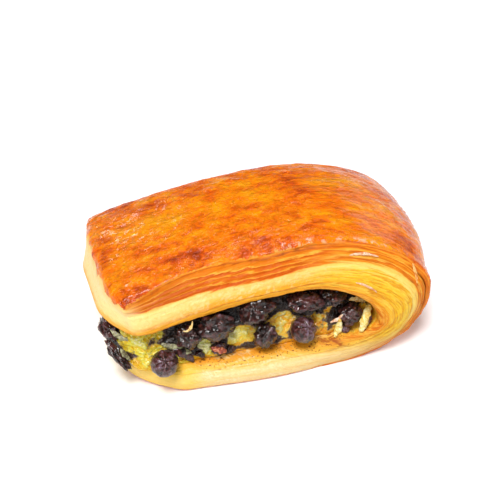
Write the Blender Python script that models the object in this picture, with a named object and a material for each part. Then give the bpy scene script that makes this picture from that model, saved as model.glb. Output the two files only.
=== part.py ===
"""A folded Danish pastry with custard and chocolate drops, at its real size in metres.

One strip of layered dough lies flat, turns up and over at its right end and comes back
above itself. Custard fills the fold, and baked chocolate drops are sunk in its open sides.
X runs along the strip towards the fold, -Y is the side that faces the viewer, and +Z is up.
"""

import math

import bpy
import numpy as np
from mathutils import Euler, Vector, noise
from mathutils.bvhtree import BVHTree

MM = 0.001

# Driving sizes of the whole pastry
FOLD_REACH = 54.6 * MM
LOWER_END = -62.0 * MM
UPPER_END = -58.5 * MM
HEIGHT = 47.0 * MM
WIDTH = 70.0 * MM
LOWER_THICKNESS = 9.5 * MM
CAVITY_TOP = 31.5 * MM
FIT_GAP = 0.45 * MM
PRESS_GAP = 0.75 * MM
POCKET_GAP = 1.0 * MM

# The outside of the fold, a superellipse between floor and top
OUTER_TURN_X = 13.6 * MM
OUTER_MIDDLE_Z = 26.5 * MM
OUTER_POWER_BELOW = 2.7
OUTER_POWER_ABOVE = 1.83
BACK_REACH = 4.2 * MM
UPPER_DROP = 11.0 * MM
UPPER_POWER = 1.9
CROWN = 3.2 * MM

# The inside of the fold, fuller below than above
INNER_TURN_X = 8.0 * MM
INNER_REACH = 35.0 * MM
INNER_MIDDLE_Z = 15.0 * MM
INNER_DROP = 8.5 * MM

# Rounding and slant of the dough's ends and long edges
END_ROUND = 4.0 * MM
FACE_ROUND = 1.5 * MM
SIDE_ROUND = 1.4 * MM
LOWER_SLANT = 3.5 * MM
LOWER_CORNER_PULL = 18.0 * MM
LOWER_CORNER_SHARE = 0.3
UPPER_SLANT = 7.0 * MM
UPPER_CORNER_PULL = 9.8 * MM
UPPER_CORNER_SHARE = 0.32
UPPER_SKEW = 2.0 * MM
CRUST_END = -62.0 * MM
CRUST_CORNER_PULL = 3.4 * MM

# Cut layers on the long sides, as shares of the thickness from crust to filling
CRUST_LAYERS = (0.0, 0.075, 0.15, 0.23, 0.32, 0.42)
FILLING_LAYERS = (0.78, 0.85, 0.92, 1.0)
RISER = 0.68
STEP_STRENGTH = 0.8
FILLING_LEDGE = 0.45 * MM

# Custard
CUSTARD_END = -60.5 * MM
CUSTARD_ROUND = 2.6 * MM
CREVICE = 5.0 * MM
LUMP = 1.5 * MM
LUMP_SPAN = 8.0 * MM

# Chocolate: name, centre, half sizes, turn in degrees, number of star folds or 0 for a broken chunk
CHOCOLATE = (
    ("chocolate_drop_front_left", (-44.6, -32.6, 14.2), (4.9, 4.8, 4.3), (38, -8, 0), 6),
    ("chocolate_drop_front_middle", (6.6, -31.8, 16.6), (4.9, 4.8, 4.4), (42, 6, 20), 7),
    ("chocolate_chunk_front_left", (-24.4, -28.6, 23.2), (6.2, 4.4, 5.0), (10, 20, 5), 0),
    ("chocolate_chunk_front_upper", (-9.8, -28.2, 26.4), (5.8, 4.2, 4.4), (0, -15, 10), 0),
    ("chocolate_chunk_front_lower", (-7.3, -30.2, 15.9), (3.9, 3.7, 4.6), (8, 12, 0), 0),
    ("chocolate_chunk_under_flap", (8.2, -26.6, 25.4), (6.6, 4.0, 2.9), (0, 8, 0), 0),
    ("chocolate_chunk_in_shadow", (19.4, -25.8, 24.6), (4.8, 4.0, 3.2), (0, 15, 0), 0),
    ("chocolate_chunk_front_right", (25.6, -28.4, 16.4), (4.2, 3.8, 4.2), (20, 0, 30), 0),
    ("chocolate_bit_front_left", (-35.0, -28.8, 20.8), (4.4, 3.4, 3.6), (0, 30, 0), 0),
    ("chocolate_bit_front_right", (30.8, -30.6, 14.6), (2.2, 2.0, 1.8), (0, 0, 0), 0),
    ("chocolate_chunk_left_end", (-60.9, -13.5, 18.2), (2.6, 5.0, 3.6), (10, 0, 12), 0),
    ("chocolate_smear_left_end", (-59.4, -23.0, 13.0), (1.7, 5.6, 1.9), (38, 0, 37), 0),
    ("chocolate_drop_back_left", (-33.0, 30.0, 16.4), (4.8, 4.7, 4.2), (-50, 5, 0), 6),
    ("chocolate_chunk_back_middle", (-15.0, 29.4, 22.6), (6.2, 4.2, 4.6), (0, 12, 0), 0),
    ("chocolate_drop_back_right", (9.0, 29.8, 20.6), (4.8, 4.6, 4.3), (-60, -10, 0), 7),
    ("chocolate_chunk_back_right", (24.0, 29.0, 17.8), (4.6, 4.0, 4.0), (0, 20, 15), 0),
    ("chocolate_bit_back", (-44.0, 29.0, 18.4), (3.4, 3.0, 2.8), (0, 0, 0), 0),
)
DROP_RINGS = 8
DROP_SEGMENTS = 12

# Stretches of the strip: lower flap 0 to 1, fold 1 to 2, upper flap 2 to 3
LOWER_ROWS, FOLD_ROWS, UPPER_ROWS = 13, 24, 17
WIDTH_ROWS = 11
CUSTARD_ROWS = (38, 8, 9)


def smooth_step(low, high, value):
    t = np.clip((value - low) / (high - low), 0.0, 1.0)
    return t * t * (3.0 - 2.0 * t)


def along_strip(s, values):
    """Eases between values given at the open end below, mid lower flap, fold, top and open end above."""
    stations = (0.0, 0.7, 1.5, 2.05, 3.0)
    result = np.full_like(s, values[0])
    for start, end, before, after in zip(stations, stations[1:], values, values[1:]):
        result = result + (after - before) * smooth_step(start, end, s)
    return result


def turn(s, centre_x, reach, middle_z, low_z, high_z, powers):
    """The curved stretch of a line round the fold, a superellipse with its own lower and upper half."""
    angle = math.pi * (np.clip(s, 1.0, 2.0) - 1.5)
    cosine = np.clip(np.cos(angle), 0.0, 1.0)
    sine = np.sin(angle)
    below, above = powers
    power = np.where(sine < 0.0, below, above)
    x = centre_x + (reach - centre_x) * cosine ** (2.0 / power)
    radius = np.where(sine < 0.0, middle_z - low_z, high_z - middle_z)
    return x, middle_z + np.sign(sine) * radius * np.abs(sine) ** (2.0 / power)


def outer_line(s, w, left_below, left_above):
    towards_back = smooth_step(0.05, 0.45, w)
    z_limits = (OUTER_MIDDLE_Z, 0.0, HEIGHT)
    powers = (OUTER_POWER_BELOW, OUTER_POWER_ABOVE)
    x, z = turn(s, OUTER_TURN_X, FOLD_REACH + BACK_REACH * towards_back, *z_limits, powers)
    below, above = np.clip(s, 0.0, 1.0), np.clip(s - 2.0, 0.0, 1.0)
    x = np.where(s < 1.0, left_below + (OUTER_TURN_X - left_below) * below, x)
    x = np.where(s > 2.0, OUTER_TURN_X + (left_above - OUTER_TURN_X) * above, x)
    return x, np.where(s > 2.0, HEIGHT - UPPER_DROP * above**UPPER_POWER, z)


def inner_line(s, left_below, left_above):
    z_limits = (INNER_MIDDLE_Z, LOWER_THICKNESS, CAVITY_TOP)
    x, z = turn(s, INNER_TURN_X, INNER_REACH, *z_limits, (2.0, 2.0))
    below, above = np.clip(s, 0.0, 1.0), np.clip(s - 2.0, 0.0, 1.0)
    x = np.where(s < 1.0, left_below + (INNER_TURN_X - left_below) * below, x)
    x = np.where(s > 2.0, INNER_TURN_X + (left_above - INNER_TURN_X) * above, x)
    return x, np.where(s > 2.0, CAVITY_TOP - INNER_DROP * above**UPPER_POWER, z)


def stepped(d):
    """Turns an even depth into one that steps outwards layer by layer below the crust."""
    result = np.array(d, float)
    for start, end in zip(CRUST_LAYERS, CRUST_LAYERS[1:]):
        share = (d - start) / (end - start)
        step = start + (end - start) * np.where(
            share < RISER, 0.15 * share / RISER, 0.15 + 0.85 * (share - RISER) / (1.0 - RISER)
        )
        result = np.where((d >= start) & (d < end), d + STEP_STRENGTH * (step - d), result)
    return result


def filling_ledges(d):
    """The thin cut layers next to the filling, as a distance that each one stands out."""
    result = np.zeros_like(d)
    for start, end in zip(FILLING_LAYERS, FILLING_LAYERS[1:]):
        share = np.clip((d - start) / (end - start), 0.0, 1.0)
        result = result + 1.6 * FILLING_LEDGE * (1.0 - share) * share**0.3
    return result


def front_side(s, d):
    edge = -along_strip(s, (35.5, 37.6, 37.0, 28.8, 28.8)) * MM
    crust_inset = along_strip(s, (1.5, 1.5, 5.5, 10.0, 7.0)) * MM
    inner_inset = along_strip(s, (5.5, 5.5, 2.0, 0.6, 0.6)) * MM
    return edge + crust_inset * (1.0 - stepped(d)) ** 2.2 + inner_inset * d**3 - filling_ledges(d)


def back_side(s, d):
    edge = along_strip(s, (32.5, 34.0, 31.0, 34.1, 34.6)) * MM
    crust_inset = along_strip(s, (1.5, 1.5, 5.0, 4.5, 4.0)) * MM
    inner_inset = along_strip(s, (4.5, 4.5, 2.0, 1.0, 1.0)) * MM
    return edge - crust_inset * (1.0 - stepped(d)) ** 2.2 - inner_inset * d**3 + filling_ledges(d)


def corner_pull(w, share, back_part):
    front = np.clip(1.0 - w / share, 0.0, 1.0) ** 2
    back = np.clip(1.0 - (1.0 - w) / share, 0.0, 1.0) ** 2
    return front + back_part * back


def upper_inner_end(w):
    pull = UPPER_CORNER_PULL * corner_pull(w, UPPER_CORNER_SHARE, 0.85)
    return UPPER_END + UPPER_SKEW * (1.0 - w) - UPPER_SLANT + pull


def upper_outer_end(w):
    return CRUST_END + UPPER_SKEW * (1.0 - w) + CRUST_CORNER_PULL * corner_pull(w, UPPER_CORNER_SHARE, 1.0)


def dough_point(s, d, w):
    """Where the dough is at s along the strip, depth d from crust to filling and w from front to back."""
    left_inside = LOWER_END + LOWER_CORNER_PULL * corner_pull(w, LOWER_CORNER_SHARE, 0.5)
    outer_x, outer_z = outer_line(s, w, left_inside + LOWER_SLANT, upper_outer_end(w))
    inner_x, inner_z = inner_line(s, left_inside, upper_inner_end(w))
    out_x, out_z = outer_x - inner_x, outer_z - inner_z
    span = np.hypot(out_x, out_z)
    crown = CROWN * smooth_step(1.1, 2.0, s) * (1.0 - (2.0 * w - 1.0) ** 2) * (1.0 - d)
    x = outer_x - out_x * d + out_x / span * crown
    z = outer_z - out_z * d + out_z / span * crown
    near, far = front_side(s, d), back_side(s, d)
    return x, near + (far - near) * w, z


def custard_point(a, b, w):
    """Where the custard is at a from open end to fold, b from bottom to top and w from front to back."""
    angle = math.pi / 2 - (math.pi / 2 - 0.15) * np.clip((a - 0.62) / 0.38, 0.0, 1.0)
    corner = 9.0 * MM * corner_pull(w, 0.3, 0.7)
    flat_x = INNER_TURN_X + (CUSTARD_END + corner - INNER_TURN_X) * np.clip(1.0 - a / 0.62, 0.0, 1.0)
    gap_x = INNER_REACH - INNER_TURN_X - 1.4 * FIT_GAP
    x = np.where(a < 0.62, flat_x, INNER_TURN_X + gap_x * np.cos(angle))
    front_low = 30.6 - 3.4 * smooth_step(0.75, 1.0, a)
    front = -(front_low - 4.4 * smooth_step(0.05, 0.6, b) - 2.6 * smooth_step(0.6, 1.0, b)) * MM
    back = (29.2 - 2.4 * smooth_step(0.75, 1.0, a) - 4.6 * smooth_step(0.05, 0.8, b)) * MM
    y = front + (back - front) * w
    low = INNER_MIDDLE_Z - (INNER_MIDDLE_Z - LOWER_THICKNESS - FIT_GAP) * np.sin(angle)
    across = np.clip((y + 30.0 * MM) / (62.0 * MM), 0.0, 1.0)
    above = np.clip((INNER_TURN_X - x) / (INNER_TURN_X - upper_inner_end(across)), 0.0, 1.0)
    high = INNER_MIDDLE_Z + (CAVITY_TOP - FIT_GAP - INNER_MIDDLE_Z) * np.sin(angle)
    high = high - INNER_DROP * above**UPPER_POWER
    high = high - CREVICE * np.sin(angle) * corner_pull(w, 0.16, 1.0) - 1.5 * MM * smooth_step(0.9, 1.0, above)
    return x, y, low + (high - low) * b


def eased_rows(count, edge_share):
    """Grid lines from 0 to 1 that crowd towards both ends, for smooth rounding there."""
    t = np.linspace(0.0, 1.0, count + 1)
    return (1.0 - edge_share) * t + edge_share * (0.5 - 0.5 * np.cos(math.pi * t))


def layer_rows():
    """Depths of the dough's grid lines: the corners of every cut layer and a few lines between."""
    rows = {0.03, 0.52, 0.65, 0.965, 1.0}
    for start, end in zip(CRUST_LAYERS, CRUST_LAYERS[1:]):
        rows |= {start, start + RISER * (end - start)}
    for start in FILLING_LAYERS[:-1]:
        rows |= {start, start + 0.012}
    return np.array(sorted(rows | {CRUST_LAYERS[-1]}))


def box_faces(index):
    """The quads over the six sides of a block of grid points, all facing out."""
    faces = []
    for axis in range(3):
        block = np.moveaxis(index, axis, 0)
        for side, turned in ((0, axis == 1), (-1, axis != 1)):
            sheet = block[side]
            quad = (sheet[:-1, :-1], sheet[1:, :-1], sheet[1:, 1:], sheet[:-1, 1:])
            rows = np.stack([q.ravel() for q in quad], axis=1)
            faces.append(rows[:, ::-1] if turned else rows)
    return np.concatenate(faces)


def surface_grid(first, second, third):
    """Points and quads on the skin of a block with the given grid lines along its three directions."""
    shape = (len(first), len(second), len(third))
    grid = np.stack(np.meshgrid(first, second, third, indexing="ij"), axis=-1)
    on_skin = np.zeros(shape, bool)
    for axis in range(3):
        view = np.moveaxis(on_skin, axis, 0)
        view[0] = view[-1] = True
    index = np.full(shape, -1)
    index[on_skin] = np.arange(on_skin.sum())
    return grid[on_skin].T, box_faces(index)


def rounded(shares, size, radius):
    """Pulls the skin of a unit block in at its edges, with a real length and rounding radius per axis."""
    held, pushed = [], []
    for share, length, r in zip(shares, size, radius):
        q = share * length
        centre = np.clip(q, np.minimum(r, length / 2), np.maximum(length - r, length / 2))
        held.append(centre)
        pushed.append((q - centre) / r)
    reach = np.maximum(np.sqrt(sum(p * p for p in pushed)), 1e-9)
    most = np.maximum.reduce([np.abs(p) for p in pushed])
    return [(c + p * r * most / reach) / length for c, p, r, length in zip(held, pushed, radius, size)]


def dough_skin():
    lower = np.linspace(0.0, 1.0, LOWER_ROWS + 1)[:-1] ** 1.3
    fold = np.linspace(1.0, 2.0, FOLD_ROWS + 1)[:-1]
    upper = 3.0 - np.linspace(1.0, 0.0, UPPER_ROWS + 1) ** 1.3
    rows = np.concatenate([lower, fold, upper])
    (s, d, w), faces = surface_grid(rows, layer_rows(), eased_rows(WIDTH_ROWS, 0.7))
    thickness = along_strip(s, (9.5, 9.5, 24.0, 16.0, 12.0)) * MM
    size = (240.0 * MM, thickness, WIDTH)
    s, d, w = rounded((s / 3.0, d, w), size, (END_ROUND, FACE_ROUND, SIDE_ROUND))
    return np.stack(dough_point(3.0 * s, d, w), axis=1), faces


def custard_skin(chocolate):
    """The custard, lumpy on its open sides and hollowed round the chocolate that sits in it."""
    along, up, across = CUSTARD_ROWS
    grid, faces = surface_grid(eased_rows(along, 0.2), eased_rows(up, 0.5), eased_rows(across, 0.8))
    size = (100.0 * MM, 18.0 * MM, 56.0 * MM)
    a, b, w = rounded(grid, size, (CUSTARD_ROUND, CUSTARD_ROUND, CUSTARD_ROUND))
    points = np.stack(custard_point(a, b, w), axis=1)
    openness = np.maximum.reduce([1.0 - smooth_step(0.0, 0.06, a), 1.0 - smooth_step(0.0, 0.1, w),
                                  smooth_step(0.9, 1.0, w)]) * smooth_step(0.1, 0.4, b)
    for point, amount in zip(points, openness):
        lump = noise.noise(Vector(point) / LUMP_SPAN)
        point += amount * LUMP * lump * np.array((0.4, math.copysign(1.0, point[1]), 0.0))
    return [pocketed(Vector(point), chocolate) for point in points], faces


def chocolate_swell(direction, centre, folds):
    """How far the chocolate stands out along a direction from its centre, as a share of its half size."""
    if folds:
        around = math.atan2(direction.y, direction.x)
        top = max(direction.z, 0.0)
        crease = abs(math.sin(0.5 * folds * around)) ** 0.7
        return 1.0 - 0.15 * (1.0 - crease) * top**0.5 * (1.0 - top**6) - 0.10 * top**8
    lump = noise.noise(direction * 1.7 + Vector(centre))
    return 1.0 + 0.30 * lump + 0.10 * noise.noise(direction * 4.0 + Vector(centre))


def pocketed(point, bodies):
    """Moves a point of the custard inwards until it is clear of the chocolate that sits in its sides."""
    inward = Vector((1.0, 0.0, 0.0)) if point.x < CUSTARD_END + 4.0 * MM else Vector((0.0, 1.0, 0.0))
    inward.y = math.copysign(inward.y, -point.y)
    for _ in range(60):
        if is_clear(point, bodies, POCKET_GAP):
            break
        point = point + inward * 0.2 * MM
    return point


def is_clear(point, bodies, gap):
    for body in bodies:
        hit, normal, _, distance = body.find_nearest(point)
        if distance < gap or (point - hit).dot(normal) < 0.0:
            return False
    return True


def pressed(points, centre, bodies):
    """Draws the points of a piece in towards its centre where they would touch the bodies."""
    middle = Vector(centre) * MM
    result = []
    for point in points:
        shares = (1.0 - 0.02 * step for step in range(48))
        spots = (middle + (point - middle) * share for share in shares)
        result.append(next((spot for spot in spots if is_clear(spot, bodies, PRESS_GAP)), middle))
    return result


def chocolate_skin(centre, half_sizes, degrees, folds):
    """A drop with creases that run to its tip, or a broken chunk."""
    pose = Euler([math.radians(t) for t in degrees]).to_matrix()
    directions = [Vector((0.0, 0.0, 1.0))]
    for ring in range(1, DROP_RINGS):
        tilt = math.pi * ring / DROP_RINGS
        for segment in range(DROP_SEGMENTS):
            around = 2.0 * math.pi * segment / DROP_SEGMENTS
            flat = math.sin(tilt)
            directions.append(Vector((flat * math.cos(around), flat * math.sin(around), math.cos(tilt))))
    directions.append(Vector((0.0, 0.0, -1.0)))
    points = []
    for direction in directions:
        swell = chocolate_swell(direction, centre, folds)
        reach = Vector([q * half * swell for q, half in zip(direction, half_sizes)])
        points.append((Vector(centre) + pose @ reach) * MM)
    last = len(points) - 1
    faces = []
    for segment in range(DROP_SEGMENTS):
        near, far = 1 + segment, 1 + (segment + 1) % DROP_SEGMENTS
        faces.append((0, near, far))
        for ring in range(DROP_RINGS - 2):
            row = ring * DROP_SEGMENTS
            faces.append((near + row, near + row + DROP_SEGMENTS, far + row + DROP_SEGMENTS, far + row))
        row = (DROP_RINGS - 2) * DROP_SEGMENTS
        faces.append((last, far + row, near + row))
    return points, faces


def body_of(points, faces):
    return BVHTree.FromPolygons([tuple(point) for point in points], [tuple(face) for face in faces])


def new_object(name, points, faces, material):
    mesh = bpy.data.meshes.new(name)
    mesh.from_pydata([tuple(point) for point in points], [], [tuple(face) for face in faces])
    mesh.materials.append(material)
    mesh.shade_smooth()
    mesh.set_sharp_from_angle(angle=math.radians(28.0))
    bpy.context.scene.collection.objects.link(bpy.data.objects.new(name, mesh))


def food_material(name, colour, roughness):
    material = bpy.data.materials.new(name)
    material.use_nodes = True
    shader = material.node_tree.nodes["Principled BSDF"]
    shader.inputs["Base Color"].default_value = (*colour, 1.0)
    shader.inputs["Roughness"].default_value = roughness
    return material


def stand_at_origin():
    """Moves everything so that the origin is the middle of the underside of the whole box."""
    meshes = [body.data for body in bpy.context.scene.objects]
    points = np.array([vertex.co for mesh in meshes for vertex in mesh.vertices])
    low, high = points.min(axis=0), points.max(axis=0)
    shift = Vector(((low[0] + high[0]) / 2, (low[1] + high[1]) / 2, low[2]))
    for mesh in meshes:
        for vertex in mesh.vertices:
            vertex.co -= shift


def main():
    for old in list(bpy.data.objects):
        bpy.data.objects.remove(old, do_unlink=True)
    dough = dough_skin()
    bodies = [body_of(*dough)]
    pieces = []
    for name, centre, *shape in CHOCOLATE:
        points, faces = chocolate_skin(centre, *shape)
        points = pressed(points, centre, bodies)
        pieces.append((name, centre, points, faces))
        bodies.append(body_of(points, faces))
    custard = custard_skin(bodies[1:])
    filling = [body_of(*custard)]
    new_object("dough", *dough, food_material("baked_dough", (0.72, 0.30, 0.05), 0.35))
    new_object("custard", *custard, food_material("yellow_custard", (0.80, 0.58, 0.10), 0.3))
    for name, centre, points, faces in pieces:
        brown = food_material(name + "_brown", (0.05, 0.02, 0.015), 0.45)
        new_object(name, pressed(points, centre, filling), faces, brown)
    stand_at_origin()


main()
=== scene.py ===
"""Dresses the folded Danish pastry: baked dough, custard, chocolate, crumbs, floor, light and camera.

The dough, the custard and the chocolate follow the same formulas and sizes as the solids, drawn with
finer grid lines and with the relief of crust, layers and curds on top.
"""

import math

import bpy
import numpy as np
from mathutils import Euler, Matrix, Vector, noise
from mathutils.bvhtree import BVHTree


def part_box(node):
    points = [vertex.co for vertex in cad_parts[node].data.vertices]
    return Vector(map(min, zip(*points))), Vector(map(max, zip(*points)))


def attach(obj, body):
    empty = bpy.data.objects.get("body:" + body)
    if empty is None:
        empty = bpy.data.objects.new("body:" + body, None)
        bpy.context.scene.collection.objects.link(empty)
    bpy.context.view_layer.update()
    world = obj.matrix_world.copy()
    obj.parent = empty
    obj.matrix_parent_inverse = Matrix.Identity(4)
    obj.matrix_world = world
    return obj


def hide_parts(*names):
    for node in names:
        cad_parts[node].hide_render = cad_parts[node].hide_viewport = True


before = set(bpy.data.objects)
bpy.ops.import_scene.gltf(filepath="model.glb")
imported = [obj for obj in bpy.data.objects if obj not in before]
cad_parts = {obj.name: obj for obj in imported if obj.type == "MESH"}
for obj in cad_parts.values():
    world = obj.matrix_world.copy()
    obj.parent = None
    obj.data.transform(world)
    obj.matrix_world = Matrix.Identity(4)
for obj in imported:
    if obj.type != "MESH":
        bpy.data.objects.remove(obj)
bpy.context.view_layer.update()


MM = 0.001

# Driving sizes of the whole pastry
FOLD_REACH = 54.6 * MM
LOWER_END = -62.0 * MM
UPPER_END = -58.5 * MM
HEIGHT = 47.0 * MM
WIDTH = 70.0 * MM
LOWER_THICKNESS = 9.5 * MM
CAVITY_TOP = 31.5 * MM
FIT_GAP = 0.45 * MM
PRESS_GAP = 0.12 * MM
POCKET_GAP = 0.3 * MM

# The outside of the fold, a superellipse between floor and top
OUTER_TURN_X = 13.6 * MM
OUTER_MIDDLE_Z = 26.5 * MM
OUTER_POWERS = (2.7, 1.83)
BACK_REACH = 4.2 * MM
UPPER_DROP = 11.0 * MM
UPPER_POWER = 1.9
CROWN = 3.2 * MM

# The inside of the fold, fuller below than above
INNER_TURN_X = 8.0 * MM
INNER_REACH = 35.0 * MM
INNER_MIDDLE_Z = 15.0 * MM
INNER_DROP = 8.5 * MM

# Rounding and slant of the dough's ends and long edges
END_ROUND = 4.0 * MM
FACE_ROUND = 1.5 * MM
SIDE_ROUND = 1.4 * MM
LOWER_SLANT = 3.5 * MM
LOWER_CORNER_PULL = 18.0 * MM
LOWER_CORNER_SHARE = 0.3
UPPER_SLANT = 7.0 * MM
UPPER_CORNER_PULL = 9.8 * MM
UPPER_CORNER_SHARE = 0.32
UPPER_SKEW = 2.0 * MM
CRUST_END = -62.0 * MM
CRUST_CORNER_PULL = 3.4 * MM

# Cut layers on the long sides, as shares of the thickness from crust to filling
CRUST_LAYERS = (0.0, 0.075, 0.15, 0.23, 0.32, 0.42)
FILLING_LAYERS = (0.78, 0.85, 0.92, 1.0)
RISER = 0.68
STEP_STRENGTH = 0.8
FILLING_LEDGE = 0.45 * MM

# Custard
CUSTARD_END = -60.5 * MM
CUSTARD_ROUND = 2.6 * MM
CUSTARD_TURN = 0.62
CUSTARD_CORNER_PULL = 9.0 * MM
CREVICE = 5.0 * MM
LUMP = 1.5 * MM
LUMP_SPAN = 8.0 * MM

# Chocolate: node's name after chocolate_, centre and half sizes in mm, turn in degrees, and the number
# of star folds or 0 for a broken chunk
CHOCOLATE = (
    ("drop_front_left", (-44.6, -32.6, 14.2), (4.9, 4.8, 4.3), (38, -8, 0), 6),
    ("drop_front_middle", (6.6, -31.8, 16.6), (4.9, 4.8, 4.4), (42, 6, 20), 7),
    ("chunk_front_left", (-24.4, -28.6, 23.2), (6.2, 4.4, 5.0), (10, 20, 5), 0),
    ("chunk_front_upper", (-9.8, -28.2, 26.4), (5.8, 4.2, 4.4), (0, -15, 10), 0),
    ("chunk_front_lower", (-7.3, -30.2, 15.9), (3.9, 3.7, 4.6), (8, 12, 0), 0),
    ("chunk_under_flap", (8.2, -26.6, 25.4), (6.6, 4.0, 2.9), (0, 8, 0), 0),
    ("chunk_in_shadow", (19.4, -25.8, 24.6), (4.8, 4.0, 3.2), (0, 15, 0), 0),
    ("chunk_front_right", (25.6, -28.4, 16.4), (4.2, 3.8, 4.2), (20, 0, 30), 0),
    ("bit_front_left", (-35.0, -28.8, 20.8), (4.4, 3.4, 3.6), (0, 30, 0), 0),
    ("bit_front_right", (30.8, -30.6, 14.6), (2.2, 2.0, 1.8), (0, 0, 0), 0),
    ("chunk_left_end", (-60.9, -13.5, 18.2), (2.6, 5.0, 3.6), (10, 0, 12), 0),
    ("smear_left_end", (-59.4, -23.0, 13.0), (1.7, 5.6, 1.9), (38, 0, 37), 0),
    ("drop_back_left", (-33.0, 30.0, 16.4), (4.8, 4.7, 4.2), (-50, 5, 0), 6),
    ("chunk_back_middle", (-15.0, 29.4, 22.6), (6.2, 4.2, 4.6), (0, 12, 0), 0),
    ("drop_back_right", (9.0, 29.8, 20.6), (4.8, 4.6, 4.3), (-60, -10, 0), 7),
    ("chunk_back_right", (24.0, 29.0, 17.8), (4.6, 4.0, 4.0), (0, 20, 15), 0),
    ("bit_back", (-44.0, 29.0, 18.4), (3.4, 3.0, 2.8), (0, 0, 0), 0),
)


def unit(value):
    return np.clip(value, 0.0, 1.0)


def rise(low, high, value):
    """Eases from 0 to 1 while the value goes from low to high."""
    t = unit((value - low) / (high - low))
    return t * t * (3.0 - 2.0 * t)


def fall(low, high, value):
    return 1 - rise(low, high, value)


def along_strip(s, values):
    """Eases between values given at the open end below, mid lower flap, fold, top and open end above."""
    stations = (0.0, 0.7, 1.5, 2.05, 3.0)
    result = np.full_like(s, values[0])
    for start, end, before, after in zip(stations, stations[1:], values, values[1:]):
        result = result + (after - before) * rise(start, end, s)
    return result


def turn(s, centre_x, reach, middle_z, low_z, high_z, powers):
    """The curved stretch of a line round the fold, a superellipse with its own lower and upper half."""
    angle = math.pi * (np.clip(s, 1.0, 2.0) - 1.5)
    cosine = unit(np.cos(angle))
    sine = np.sin(angle)
    power = np.where(sine < 0.0, *powers)
    x = centre_x + (reach - centre_x) * cosine ** (2.0 / power)
    radius = np.where(sine < 0.0, middle_z - low_z, high_z - middle_z)
    return x, middle_z + np.sign(sine) * radius * np.abs(sine) ** (2.0 / power)


def with_flaps(s, fold, turn_x, ends, top, drop):
    """Adds the straight lower flap and the drooping upper flap to the curved stretch of a line."""
    below, above = unit(s), unit(s - 2.0)
    x = np.where(s < 1.0, ends[0] + (turn_x - ends[0]) * below, fold[0])
    x = np.where(s > 2.0, turn_x + (ends[1] - turn_x) * above, x)
    return x, np.where(s > 2.0, top - drop * above**UPPER_POWER, fold[1])


def outer_line(s, w, *ends):
    reach = FOLD_REACH + BACK_REACH * rise(0.05, 0.45, w)
    fold = turn(s, OUTER_TURN_X, reach, OUTER_MIDDLE_Z, 0.0, HEIGHT, OUTER_POWERS)
    return with_flaps(s, fold, OUTER_TURN_X, ends, HEIGHT, UPPER_DROP)


def inner_line(s, *ends):
    fold = turn(s, INNER_TURN_X, INNER_REACH, INNER_MIDDLE_Z, LOWER_THICKNESS, CAVITY_TOP, (2.0, 2.0))
    return with_flaps(s, fold, INNER_TURN_X, ends, CAVITY_TOP, INNER_DROP)


def stepped(d):
    """Turns an even depth into one that steps outwards layer by layer below the crust."""
    result = np.array(d, float)
    for start, end in zip(CRUST_LAYERS, CRUST_LAYERS[1:]):
        share = (d - start) / (end - start)
        step = start + (end - start) * np.where(
            share < RISER, 0.15 * share / RISER, 0.15 + 0.85 * (share - RISER) / (1 - RISER)
        )
        result = np.where((d >= start) & (d < end), d + STEP_STRENGTH * (step - d), result)
    return result


def filling_ledges(d):
    """The thin cut layers next to the filling, as a distance that each one stands out."""
    result = np.zeros_like(d)
    for start, end in zip(FILLING_LAYERS, FILLING_LAYERS[1:]):
        share = unit((d - start) / (end - start))
        result = result + 1.6 * FILLING_LEDGE * (1 - share) * share**0.3
    return result


# The cut sides in mm, at the stations along the strip: how far out, and the insets at crust and filling
FRONT_SIDE = ((35.5, 37.6, 37.0, 28.8, 28.8), (1.5, 1.5, 5.5, 10.0, 7.0), (5.5, 5.5, 2.0, 0.6, 0.6))
BACK_SIDE = ((32.5, 34.0, 31.0, 34.1, 34.6), (1.5, 1.5, 5.0, 4.5, 4.0), (4.5, 4.5, 2.0, 1.0, 1.0))


def cut_side(s, d, rows):
    """How far a cut side stands from the middle line."""
    edge, crust_inset, inner_inset = (along_strip(s, row) * MM for row in rows)
    return edge - crust_inset * (1 - stepped(d)) ** 2.2 - inner_inset * d**3 + filling_ledges(d)


def corner_pull(w, share, back_part):
    return unit(1 - w / share) ** 2 + back_part * unit(1 - (1 - w) / share) ** 2


def upper_inner_end(w):
    pull = UPPER_CORNER_PULL * corner_pull(w, UPPER_CORNER_SHARE, 0.85)
    return UPPER_END + UPPER_SKEW * (1 - w) - UPPER_SLANT + pull


def upper_outer_end(w):
    return CRUST_END + UPPER_SKEW * (1 - w) + CRUST_CORNER_PULL * corner_pull(w, UPPER_CORNER_SHARE, 1.0)


def dough_point(s, d, w):
    """Where the dough is at s along the strip, depth d from crust to filling and w from front to back."""
    left_inside = LOWER_END + LOWER_CORNER_PULL * corner_pull(w, LOWER_CORNER_SHARE, 0.5)
    outer_x, outer_z = outer_line(s, w, left_inside + LOWER_SLANT, upper_outer_end(w))
    inner_x, inner_z = inner_line(s, left_inside, upper_inner_end(w))
    out_x, out_z = outer_x - inner_x, outer_z - inner_z
    span = np.hypot(out_x, out_z)
    crown = CROWN * rise(1.1, 2.0, s) * (1 - (2.0 * w - 1.0) ** 2) * (1 - d)
    x = outer_x - out_x * d + out_x / span * crown
    z = outer_z - out_z * d + out_z / span * crown
    near, far = -cut_side(s, d, FRONT_SIDE), cut_side(s, d, BACK_SIDE)
    return x, near + (far - near) * w, z


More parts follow.
